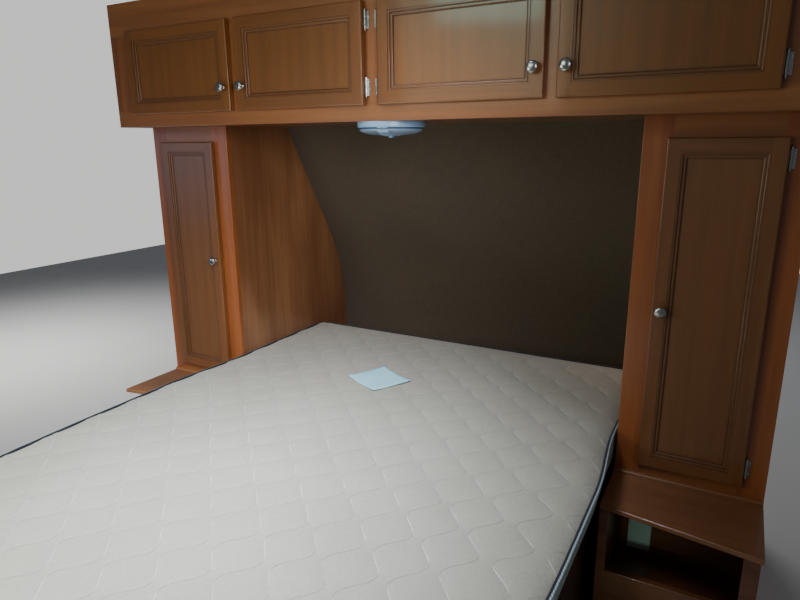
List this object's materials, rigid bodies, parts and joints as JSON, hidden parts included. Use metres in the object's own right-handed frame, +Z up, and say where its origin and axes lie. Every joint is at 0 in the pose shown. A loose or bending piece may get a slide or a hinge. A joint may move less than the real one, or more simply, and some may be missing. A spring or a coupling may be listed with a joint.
{
  "type": "motorhome fitted bedroom unit",
  "caption": "Built-in bed between two wardrobes with nightstand cubbies, overhead cupboards across the head end, a curved head wall and a lift-up deck.",
  "frame": {"origin": "on the floor under the middle of the whole unit", "axes": "+X across the vehicle to the right when facing the head wall, +Y to the head wall, +Z up"},
  "size_m": [2.33, 2.144, 2.07],
  "materials": {
    "cabinet_wood": "satin lacquered honey brown maple",
    "carcass_ply": "plain board",
    "wall_fabric": "dark brown woven wall cloth",
    "door_wood": "satin lacquer with dark glaze in the moulding",
    "panel_wood": "satin lacquer",
    "satin_nickel": "satin nickel",
    "zinc_steel": "zinc plated",
    "rod_chrome": "bright",
    "strut_black": "black paint",
    "lamp_white": "white moulded plastic",
    "lamp_lens": "frosted bluish white",
    "outlet_plastic": "ivory white",
    "mattress_cloth": "beige quilted top, navy taped edge",
    "card_paper": "blank white"
  },
  "bodies": {
    "unit": {"wardrobe_sides": "cabinet_wood", "nightstand_sides": "cabinet_wood", "ledge_boards": "cabinet_wood", "nightstand_fronts": "cabinet_wood", "wardrobe_stiles": "cabinet_wood", "wardrobe_rails": "cabinet_wood", "overhead_rails": "cabinet_wood", "overhead_stiles": "cabinet_wood", "overhead_ends": "cabinet_wood", "trim_strips": "cabinet_wood", "overhead_boards": "carcass_ply", "overhead_dividers": "carcass_ply", "cubby_floors": "carcass_ply", "cubby_backs": "carcass_ply", "base_sides": "carcass_ply", "base_ends": "carcass_ply", "floor_cleats": "carcass_ply", "head_shelf": "carcass_ply", "head_bulkhead": "carcass_ply", "head_wall": "wall_fabric", "hinge_frame_leaves": "satin_nickel", "deck_hinges": "zinc_steel", "strut_base_studs": "zinc_steel", "hanging_rods": "rod_chrome", "lamp_base": "lamp_white", "lamp_bar": "lamp_white", "lamp_lens": "lamp_lens", "outlet": "outlet_plastic"},
    "overhead_door_1": {"overhead_door_1_frame": "door_wood", "overhead_door_1_panel": "panel_wood", "overhead_door_1_knob": "satin_nickel", "overhead_door_1_hinges": "satin_nickel"},
    "overhead_door_2": {"overhead_door_2_frame": "door_wood", "overhead_door_2_panel": "panel_wood", "overhead_door_2_knob": "satin_nickel", "overhead_door_2_hinges": "satin_nickel"},
    "overhead_door_3": {"overhead_door_3_frame": "door_wood", "overhead_door_3_panel": "panel_wood", "overhead_door_3_knob": "satin_nickel", "overhead_door_3_hinges": "satin_nickel"},
    "overhead_door_4": {"overhead_door_4_frame": "door_wood", "overhead_door_4_panel": "panel_wood", "overhead_door_4_knob": "satin_nickel", "overhead_door_4_hinges": "satin_nickel"},
    "wardrobe_door_left": {"wardrobe_door_left_frame": "door_wood", "wardrobe_door_left_panel": "panel_wood", "wardrobe_door_left_knob": "satin_nickel", "wardrobe_door_left_hinges": "satin_nickel"},
    "wardrobe_door_right": {"wardrobe_door_right_frame": "door_wood", "wardrobe_door_right_panel": "panel_wood", "wardrobe_door_right_knob": "satin_nickel", "wardrobe_door_right_hinges": "satin_nickel"},
    "bed": {"deck": "carcass_ply", "mattress": "mattress_cloth", "paper_card": "card_paper", "deck_fittings": "zinc_steel"},
    "strut_cylinder_left": {"strut_cylinder_left": "strut_black"},
    "strut_rod_left": {"strut_rod_left": "rod_chrome"},
    "strut_cylinder_right": {"strut_cylinder_right": "strut_black"},
    "strut_rod_right": {"strut_rod_right": "rod_chrome"}
  },
  "joints": [
    {"name": "overhead_door_1_hinge", "type": "hinge", "parent": "unit", "child": "overhead_door_1", "pos_m": [-1.069, 0.114, 1.8195], "axis": [0, 0, -1], "range_deg": [0, 85]},
    {"name": "overhead_door_2_hinge", "type": "hinge", "parent": "unit", "child": "overhead_door_2", "pos_m": [-0.021, 0.114, 1.8195], "axis": [0, 0, 1], "range_deg": [0, 85]},
    {"name": "overhead_door_3_hinge", "type": "hinge", "parent": "unit", "child": "overhead_door_3", "pos_m": [0.021, 0.114, 1.8195], "axis": [0, 0, -1], "range_deg": [0, 85]},
    {"name": "overhead_door_4_hinge", "type": "hinge", "parent": "unit", "child": "overhead_door_4", "pos_m": [1.069, 0.114, 1.8195], "axis": [0, 0, 1], "range_deg": [0, 85]},
    {"name": "wardrobe_door_left_hinge", "type": "hinge", "parent": "unit", "child": "wardrobe_door_left", "pos_m": [-1.11, 0.268, 1.0905], "axis": [0, 0, -1], "range_deg": [0, 90]},
    {"name": "wardrobe_door_right_hinge", "type": "hinge", "parent": "unit", "child": "wardrobe_door_right", "pos_m": [1.11, 0.268, 1.0905], "axis": [0, 0, 1], "range_deg": [0, 90]},
    {"name": "bed_lift", "type": "hinge", "parent": "unit", "child": "bed", "pos_m": [0, 0.846, 0.606], "axis": [-1, 0, 0], "range_deg": [0, 30]},
    {"name": "strut_swing_left", "type": "hinge", "parent": "unit", "child": "strut_cylinder_left", "pos_m": [-0.702, 0.646, 0.21], "axis": [-1, 0, 0], "range_deg": [0, 15.6]},
    {"name": "strut_slide_left", "type": "slide", "parent": "strut_cylinder_left", "child": "strut_rod_left", "axis": [0, -0.579, 0.8153], "range_m": [0, 0.194]},
    {"name": "strut_swing_right", "type": "hinge", "parent": "unit", "child": "strut_cylinder_right", "pos_m": [0.702, 0.646, 0.21], "axis": [-1, 0, 0], "range_deg": [0, 15.6]},
    {"name": "strut_slide_right", "type": "slide", "parent": "strut_cylinder_right", "child": "strut_rod_right", "axis": [0, -0.579, 0.8153], "range_m": [0, 0.194]}
  ],
  "couplings": [
    {"joint": "strut_swing_left", "follows": "bed_lift", "ratio": 0.5153},
    {"joint": "strut_slide_left", "follows": "bed_lift", "m_per_rad": 0.36837},
    {"joint": "strut_swing_right", "follows": "bed_lift", "ratio": 0.5153},
    {"joint": "strut_slide_right", "follows": "bed_lift", "m_per_rad": 0.36837}
  ]
}
